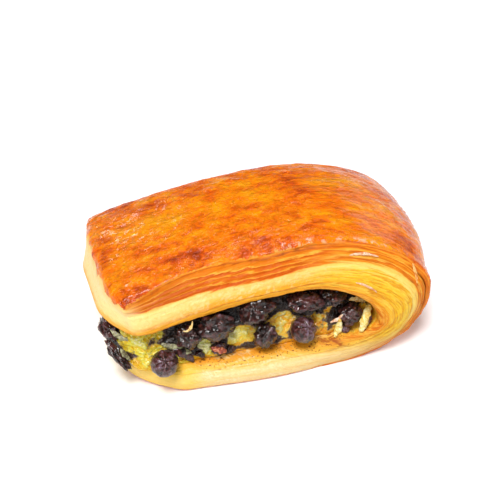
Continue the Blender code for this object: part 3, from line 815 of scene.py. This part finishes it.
def chocolate_form(centre, half_sizes, degrees, folds, bodies):
    """A fine skin for a drop or a chunk: the solid's form with craggy relief, pressed in where it touches."""
    tilts = np.linspace(0, math.pi, CHOCOLATE_RINGS + 1)[1:-1]
    arounds = np.linspace(0, 2.0 * math.pi, CHOCOLATE_SEGMENTS + 1)[:-1]
    tilt, around = (grid.ravel() for grid in np.meshgrid(tilts, arounds, indexing="ij"))
    ways = np.stack([np.sin(tilt) * np.cos(around), np.sin(tilt) * np.sin(around), np.cos(tilt)], axis=1)
    ways = np.concatenate([[[0.0, 0.0, 1.0]], ways, [[0.0, 0.0, -1.0]]])
    seeds = ways * 5.0 + centre
    swell = np.array([chocolate_swell(Vector(way), centre, folds) for way in ways])
    if folds:
        top = unit(ways[:, 2])
        ray = np.abs(np.sin(0.5 * folds * np.arctan2(ways[:, 1], ways[:, 0])))
        relief = 0.05 * grain(seeds, 1.6, 20) + 0.03 * grain(seeds, 0.7, 21) + 0.07 * top * (ray - 0.6)
        # Lighter on top and on the raised folds, darker in the creases: partly bloom, partly painted shading
        # and sheen
        bloom_and_painted_shading = 0.46 + 0.40 * (ray - 0.5) * top + 0.22 * top + 0.40 * grain(seeds, 1.2, 22)
    else:
        crags = 0.6 * grain(seeds, (4.2, 4.2, 3.2), 3) + 0.4 * (domes(seeds, 2.4, 3) - 0.55)
        ridges = (1 - np.abs(grain(seeds, 2.6, 19))) ** 3 - 0.4
        relief = 0.30 * crags + 0.12 * ridges + 0.10 * grain(seeds, 1.3, 20) + 0.05 * grain(seeds, 0.6, 21)
        # Lighter on the raised crags, darker in their hollows: partly bloom that varies at random, partly
        # painted shading
        bloom_and_painted_shading = 0.32 + 0.46 * crags + 0.36 * grain(seeds, 1.4, 22)
    pose = np.array(Euler([math.radians(t) for t in degrees]).to_matrix())
    reach = (ways * half_sizes * (swell + relief)[:, None]) @ pose.T * MM
    middle = Vector(centre) * MM
    points = []
    for away in reach:
        away = Vector(away)
        spots = (middle + away * (1 - PRESS_STEP * step) for step in range(MOST_PRESSES))
        cleared = (spot for spot in spots if is_clear(spot, bodies, PRESS_GAP))
        points.append(next(cleared, middle + away * PRESS_STEP))
    last = len(ways) - 1
    index = 1 + np.arange(last - 1).reshape(len(tilts), CHOCOLATE_SEGMENTS)
    after = np.roll(index, -1, axis=1)
    sides = np.stack([index[:-1], index[1:], after[1:], after[:-1]], axis=-1).reshape(-1, 4).tolist()
    caps = [(0, a, b) for a, b in zip(index[0], after[0])]
    caps += [(last, b, a) for a, b in zip(index[-1], after[-1])]
    return np.array(points), sides + [tuple(map(int, cap)) for cap in caps], unit(bloom_and_painted_shading)


# Loose bits of chocolate that are too small for a solid: name, middle, half sizes, degrees, folds
LOOSE_BITS = (
    ("red_brown_bit", (-24.3, -29.2, 13.2), (2.4, 1.7, 2.0), (10, 0, 20), 0),
    ("small_dark_bit", (-19.6, -29.4, 11.8), (1.3, 1.1, 1.3), (0, 20, 0), 0),
    ("grey_bit", (23.4, -30.6, 11.9), (1.3, 1.1, 1.7), (0, 15, 0), 0),
    ("dark_bit_by_drop", (-31.0, -29.6, 12.2), (1.6, 1.0, 0.9), (0, 30, 0), 0),
    ("dark_bit_back", (-24.0, 28.9, 14.0), (2.2, 1.6, 1.8), (0, 10, 0), 0),
)
# How much browner or greyer than the rest a piece of chocolate is
BLOOM_CHANGE = {
    "red_brown_bit": 0.35, "grey_bit": 0.5, "bit_front_right": 0.3, "chunk_left_end": 0.08,
    "chunk_front_right": 0.12, "chunk_under_flap": 0.1,
}

# Loose scraps: name, finish, half width and half thickness in mm, and the line that it lies along in mm
SCRAPS = (
    ("dough_curl", "loose_dough", 0.45, 0.28,
     (-36.9, -29.4, 24.7), (-35.3, -30.4, 25.4), (-34.1, -30.5, 27.0), (-33.6, -30.2, 29.2)),
    ("pale_flake", "loose_dough", 1.0, 0.35, (26.0, -25.2, 20.6), (29.5, -24.8, 19.9), (33.0, -23.8, 16.8)),
    ("flake_by_split", "crust_flake", 0.6, 0.3, (47.9, -29.0, 35.8), (48.6, -30.7, 33.1), (48.6, -33.1, 29.7)),
    # A flake painted pinkish-white for the highlight on it, and a wisp that is only a painted highlight along
    # the cavity's upper edge
    ("flake_with_painted_highlight", "pale_flake_with_painted_glint", 0.5, 0.28,
     (25.0, -25.5, 41.9), (28.2, -25.7, 41.9), (31.4, -26.3, 41.6), (35.2, -27.5, 40.5)),
    ("painted_highlight_wisp", "pale_flake_with_painted_glint", 0.4, 0.22,
     (25.8, -31.0, 33.5), (27.6, -31.4, 32.9), (29.3, -32.0, 32.1), (31.4, -32.7, 30.8), (33.2, -33.3, 29.0)),
    ("pink_scrap", "pale_flake_with_painted_glint", 0.6, 0.35, (21.9, -30.2, 18.9), (20.3, -29.6, 16.5), (17.7, -29.2, 15.3)),
    ("red_crumb", "reddish_crumb", 1.1, 0.8,
     (-27.2, -30.2, 15.0), (-25.2, -30.9, 14.4), (-23.2, -30.9, 13.2), (-21.8, -30.4, 12.0)),
    ("yellow_curd", "pale_curd", 1.6, 1.0,
     (33.2, -28.0, 19.0), (31.2, -30.2, 17.4), (29.3, -32.7, 15.0), (28.0, -33.0, 11.2)),
    ("pale_strand", "pale_curd", 1.3, 0.7,
     (20.8, -30.8, 17.4), (20.8, -30.3, 13.8), (20.1, -30.6, 11.4), (18.7, -32.2, 10.4)),
    ("grey_smear", "smeared_cream", 1.2, 0.4,
     (-44.3, -26.1, 17.5), (-40.7, -27.6, 16.6), (-37.4, -28.8, 15.3), (-34.0, -29.4, 13.8)),
    ("left_smear", "smeared_cream", 1.0, 0.45,
     (-60.4, -17.4, 20.8), (-58.0, -19.5, 19.1), (-55.2, -22.0, 18.5)),
    ("green_smear", "smeared_cream", 0.9, 0.4,
     (-58.4, -23.8, 17.0), (-57.2, -25.0, 14.8), (-55.6, -25.8, 12.2)),
    ("dark_leaf", "baked_chocolate", 1.5, 0.45,
     (-41.0, -28.6, 15.6), (-38.0, -29.4, 14.9), (-35.7, -29.7, 13.0), (-33.7, -30.3, 9.9)),
    ("curd_back", "pale_curd", 1.4, 0.8, (-3.0, 28.4, 21.0), (-5.0, 29.6, 17.0), (-4.4, 31.0, 11.6)),
)
# The scraps' finishes: the slot of each, and its dark, middle and pale colours
SCRAP_FINISHES = {
    "loose_dough": ("dough", (214, 150, 66), (244, 206, 126), (253, 234, 176)),
    # Pinkish-white: partly pale flake, partly painted highlight
    "pale_flake_with_painted_glint": ("dough", (224, 140, 92), (248, 200, 160), (254, 230, 208)),
    "crust_flake": ("dough", (214, 126, 44), (240, 168, 80), (250, 198, 120)),
    "reddish_crumb": ("custard", (140, 40, 22), (196, 92, 60), (236, 164, 118)),
    "pale_curd": ("custard", (224, 180, 70), (246, 222, 126), (252, 243, 188)),
    "smeared_cream": ("custard", (76, 60, 38), (134, 128, 88), (182, 182, 138)),
}
SCRAP_RINGS = 26
SCRAP_SEGMENTS = 16
SCRAP_BLOOM = 0.45


def scrap_form(line, half_width, half_thickness, seed):
    """A thin ragged strand along a curved line, pointed at both ends and lying flat towards the open side."""
    knots = np.array(line)
    bend = np.polyfit(np.linspace(0, 1, len(knots)), knots, len(knots) - 1)
    at = np.linspace(0, 1, SCRAP_RINGS)
    path = np.stack([np.polyval(bend[:, axis], at) for axis in range(3)], axis=1)
    along = np.gradient(path, axis=0)
    along /= np.linalg.norm(along, axis=1, keepdims=True)
    across = np.cross(along, (-0.2, -0.75 * np.sign(-knots[0, 1]), 0.6))
    across /= np.linalg.norm(across, axis=1, keepdims=True)
    outward = np.cross(across, along)
    taper = np.sin(math.pi * (0.03 + 0.94 * at)) ** 0.6
    rings = []
    for turn in np.linspace(0, 2.0 * math.pi, SCRAP_SEGMENTS + 1)[:-1]:
        spread = across * math.cos(turn) * half_width + outward * math.sin(turn) * half_thickness
        spot = path + spread * taper[:, None]
        ragged = 1 + 0.5 * grain(spot, 1.4, seed) + 0.12 * grain(spot, 0.5, seed + 1)
        rings.append(path + spread * (taper * ragged)[:, None])
    points = np.stack(rings, axis=1).reshape(-1, 3)
    index = np.arange(len(points)).reshape(SCRAP_RINGS, SCRAP_SEGMENTS)
    after = np.roll(index, -1, axis=1)
    faces = np.stack([index[:-1], after[:-1], after[1:], index[1:]], axis=-1).reshape(-1, 4).tolist()
    ends = [tuple(index[0][::-1].tolist()), tuple(index[-1].tolist())]
    return points * MM, faces + ends


def scrap_material(name, colours):
    material, bench = new_material(name)
    place = bench.place()
    grains, fine = bench.specks(place, 0.0016, curl=1.2), bench.specks(place, 0.0005)
    tone = bench.total(0.5, (grains, 1.2), (fine, 0.25))
    stops = [(at, *colour) for at, colour in zip((0.15, 0.5, 0.85), colours)]
    height = bench.total(grains, (fine, 0.4))
    bench.dress(colour=bench.ramp(tone, stops), normal=bench.bump(height, 0.8, 0.0003))
    bench.dress(roughness=0.3, specular=0.4, coat=0.3, coat_roughness=0.1)
    return material


# Custard: grid lines along, up and across, each with how much they crowd at the ends, and its block's size

CUSTARD_LINES = ((230, 0.1), (56, 0.3), (60, 0.8))
CUSTARD_BLOCK = (100.0 * MM, 18.0 * MM, 56.0 * MM)
CUSTARD_ROUNDING = (CUSTARD_ROUND, 0.7 * MM, CUSTARD_ROUND)
# How far its foot is set back and lowered, and how far a spill at the foot comes out
FOOT_SETBACK = 0.06
FOOT_DROP = 0.8 * MM
SPILL = 1.6 * MM
# Steps in which a point is pushed back from the chocolate
PUSH = 0.15 * MM
MOST_PUSHES = 60
# Middles of the palest curds in mm, and their size
CURD_SPOTS = (
    (-18.9, -28.2, 15.4), (-14.6, -27.6, 17.2), (-30.5, -28.6, 15.4), (-27.4, -28.6, 14.6),
    (-51.5, -24.6, 18.4), (-1.6, -28.0, 19.4), (-0.6, -28.6, 16.6),
)
CURD_SPOT_MM = 2.6
# Middles of the smeared patches between the chocolate in mm, and their size
SMEAR_SPOTS = (
    (18.6, -28.4, 17.8), (17.4, -28.8, 14.4), (15.2, -27.6, 21.0), (22.0, -28.0, 20.6), (-38.0, -27.6, 18.2),
    (-33.0, -28.6, 17.4), (-54.6, -24.6, 14.6), (-12.6, -29.4, 12.4), (-22.0, -29.6, 12.4), (-1.8, -29.6, 12.2),
)
SMEAR_SPOT_MM = 2.8


def push_back(point, chocolate):
    """Moves a point of the custard's open sides inwards until it is clear of the chocolate."""
    spot = Vector(point)
    inward = Vector((0.0, math.copysign(PUSH, -spot.y), 0.0))
    if spot.x < CUSTARD_END + 4.0 * MM:
        inward = Vector((PUSH, 0.0, 0.0))
    for _ in range(MOST_PUSHES):
        if is_clear(spot, chocolate, POCKET_GAP):
            break
        spot = spot + inward
    return spot


def custard_form(chocolate):
    """The custard with curds on its open sides, pushed back where the chocolate sits, smeared round it and
    darkened there and under the upper flap with painted shade.
    """
    grid, faces = surface_grid(*(eased_rows(*row) for row in CUSTARD_LINES))
    a, b, w = rounded(grid, CUSTARD_BLOCK, CUSTARD_ROUNDING)
    points = np.stack(custard_point(a, b, w), axis=1)
    foot = fall(0, 0.4, b)
    points[:, 1] *= 1 - FOOT_SETBACK * foot
    points[:, 2] -= FOOT_DROP * foot
    opening = np.maximum.reduce([fall(0, 0.06, a), fall(0, 0.1, w), rise(0.9, 1.0, w)])
    lump = np.array([noise.noise(Vector(point) / LUMP_SPAN) for point in points])
    side = np.stack([np.full(len(points), 0.4), np.sign(points[:, 1]), np.zeros(len(points))], axis=1)
    points = points + (opening * rise(0.1, 0.4, b) * LUMP * lump)[:, None] * side
    in_mm = points / MM
    curds = 0.3 * (domes(in_mm, (4.2, 4.2, 2.8), 5) - 0.5)
    curds = curds + 0.6 * grain(in_mm, (3.0, 3.0, 1.5), 30) + 0.5 * grain(in_mm, (1.5, 1.5, 0.9), 31)
    points = points + normals_of(points, faces) * (curds * opening * rise(0.03, 0.25, b) * MM)[:, None]
    spill = unit(grain(in_mm * (1, 1, 0), 6.0, 34) + 0.35) * plateau(0, 0.03, 0.0, 0.3, b)
    points[:, 1] += np.sign(points[:, 1]) * spill * opening * SPILL

    touch = np.full(len(points), 9.0)
    for number in np.flatnonzero(opening > 0.02):
        points[number] = spot = push_back(points[number], chocolate)
        touch[number] = min(body.find_nearest(spot)[3] for body in chocolate) / MM
    in_mm = points / MM
    station = in_mm[:, 0]
    swirl = grain(in_mm, (6, 6, 3), 32)
    # Painted shade on the custard's top under the upper flap; darker next to the chocolate, partly smeared
    # chocolate and partly painted shade between the pieces
    shade_under_flap = rise(0.50, 0.80, b + 0.10 * swirl) * rise(-56.0, -40.0, station)
    amid = rise(-44.0, -36.0, station) * rise(0.25, 0.5, b) * opening
    cocoa_and_shade = 0.98 * np.exp(-touch / 2.5) * (0.75 + 0.5 * swirl) + 0.6 * swirl + 0.85 * shade_under_flap + 0.18 * amid - 0.03
    ragged = in_mm + 1.6 * np.stack([grain(in_mm, 2.2, seed) for seed in (36, 37, 38)], axis=1)

    def patches(spots, size):
        return sum(np.exp(-np.sum((ragged - spot) ** 2, axis=1) / size**2) for spot in spots)

    pale = patches(CURD_SPOTS, CURD_SPOT_MM)
    cocoa_and_shade += 0.6 * patches(SMEAR_SPOTS, SMEAR_SPOT_MM) - 0.6 * pale
    curd = 0.42 + 0.42 * pale + 0.35 * grain(in_mm, 5, 33) + 0.5 * (curds - 0.1)
    curd -= 0.35 * fall(0, 0.35, b)
    return points, faces, {"cocoa_and_shade": unit(cocoa_and_shade), "curd": unit(curd), "station": station}


# Making

plain_dough, dough_points, dough_faces, dough_tones = dough_form()
cad_low, cad_high = (np.array(corner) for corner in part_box("dough"))
low, high = plain_dough.min(axis=0), plain_dough.max(axis=0)
# How far the row's origin in model.glb was moved: sideways to the middle of the dough's box, and down to its
# floor
ROW_SHIFT = (cad_low + cad_high - low - high) / 2
ROW_SHIFT[2] = cad_low[2] - low[2]
dough_points[:, 2] = np.maximum(dough_points[:, 2], low[2])
finish = dough_material()
new_piece("baked_dough", dough_points, dough_faces, finish, ["dough"], "dough", dough_tones)

dough_body = BVHTree.FromPolygons(dough_points.tolist(), dough_faces.tolist())
chocolate_bodies, chocolate_pieces = [], []
for name, *shape in CHOCOLATE + LOOSE_BITS:
    points, faces, bloom_and_painted_shading = chocolate_form(*shape, [dough_body] + chocolate_bodies)
    chocolate_bodies.append(BVHTree.FromPolygons(points.tolist(), faces))
    chocolate_pieces.append((name, points, faces, unit(bloom_and_painted_shading + BLOOM_CHANGE.get(name, 0.0))))
points, faces, tones = custard_form(chocolate_bodies)
new_piece("soft_custard", points, faces, custard_material(), ["custard"], "custard", tones)
dark_chocolate = chocolate_material()
for number, (name, points, faces, bloom_and_painted_shading) in enumerate(chocolate_pieces):
    nodes = []
    if number < len(CHOCOLATE):
        nodes, name = ["chocolate_" + name], "baked_chocolate_" + name
    new_piece(name, points, faces, dark_chocolate, nodes, "chocolate", {"bloom_and_painted_shading": bloom_and_painted_shading})
finishes = {name: (slot, scrap_material(name, colours)) for name, (slot, *colours) in SCRAP_FINISHES.items()}
finishes["baked_chocolate"] = ("chocolate", dark_chocolate)
for number, (name, finish, half_width, half_thickness, *line) in enumerate(SCRAPS):
    points, faces = scrap_form(line, half_width, half_thickness, 60 + 2 * number)
    slot, material = finishes[finish]
    new_piece("scrap_" + name, points, faces, material, [], slot, {"bloom_and_painted_shading": np.full(len(points), SCRAP_BLOOM)})

# Floor, light and camera

floor_mesh = bpy.data.meshes.new("floor")
floor_mesh.from_pydata([(-3, -3, 0), (3, -3, 0), (3, 3, 0), (-3, 3, 0)], [], [(0, 1, 2, 3)])
floor_mesh.materials.append(floor_material())
new_object("floor", floor_mesh)


def softbox(name, place, size, power):
    lamp = bpy.data.lights.new(name, "AREA")
    lamp.shape = "RECTANGLE"
    lamp.size, lamp.size_y = size
    lamp.energy = power
    holder = new_object(name, lamp)
    holder.location = place
    holder.rotation_euler = (-Vector(place)).to_track_quat("-Z", "Y").to_euler()


softbox("softbox_high", (-0.9, -1.2, 4.0), (1.6, 1.6), 186.0)
softbox("softbox_front_left", (-1.2, -1.5, 1.2), (0.9, 0.9), 21.0)
softbox("softbox_right", (1.5, -0.4, 1.2), (1.4, 1.4), 7.0)
softbox("strip_over_edge", (0.12, 0.40, 1.22), (0.7, 0.06), 1.5)
softbox("strip_back_left", (-0.25, 1.05, 0.70), (0.14, 0.1), 0.45)
softbox("strip_back_right", (0.75, 0.6, 0.45), (0.4, 0.3), 0.75)
# The white room's glow on the pastry, and how much brighter the backdrop behind it looks
GLOW, BACKDROP_GLOW = 0.08, 0.9
world = bpy.data.worlds.new("white_studio")
world.use_nodes = True
bench = Bench(world.node_tree)
backdrop = world.node_tree.nodes["Background"].inputs
glow = bench.total(GLOW, (bench.add("ShaderNodeLightPath").outputs["Is Camera Ray"], BACKDROP_GLOW))
bench.feed((1.0, 1.0, 1.0, 1.0), backdrop["Color"])
bench.feed(glow, backdrop["Strength"])
bpy.context.scene.world = world
bpy.context.scene.view_settings.view_transform = "Standard"

# The photo's view: degrees round and up, metres away, and the lens
AZIMUTH, ELEVATION, DISTANCE = -16.0, 38.0, 0.455
LENS_MM, SENSOR_MM = 85.0, 36.0
AIM = Vector((0.0, 0.0147, 0.0194)) + Vector(ROW_SHIFT)
turned, raised = math.radians(AZIMUTH), math.radians(ELEVATION)
away = Vector((math.sin(turned) * math.cos(raised), -math.cos(turned) * math.cos(raised), math.sin(raised)))
camera = new_object("camera", bpy.data.cameras.new("camera"))
camera.data.lens, camera.data.sensor_width = LENS_MM, SENSOR_MM
camera.location = AIM + away * DISTANCE
camera.rotation_euler = (-away).to_track_quat("-Z", "Y").to_euler()
bpy.context.scene.camera = camera
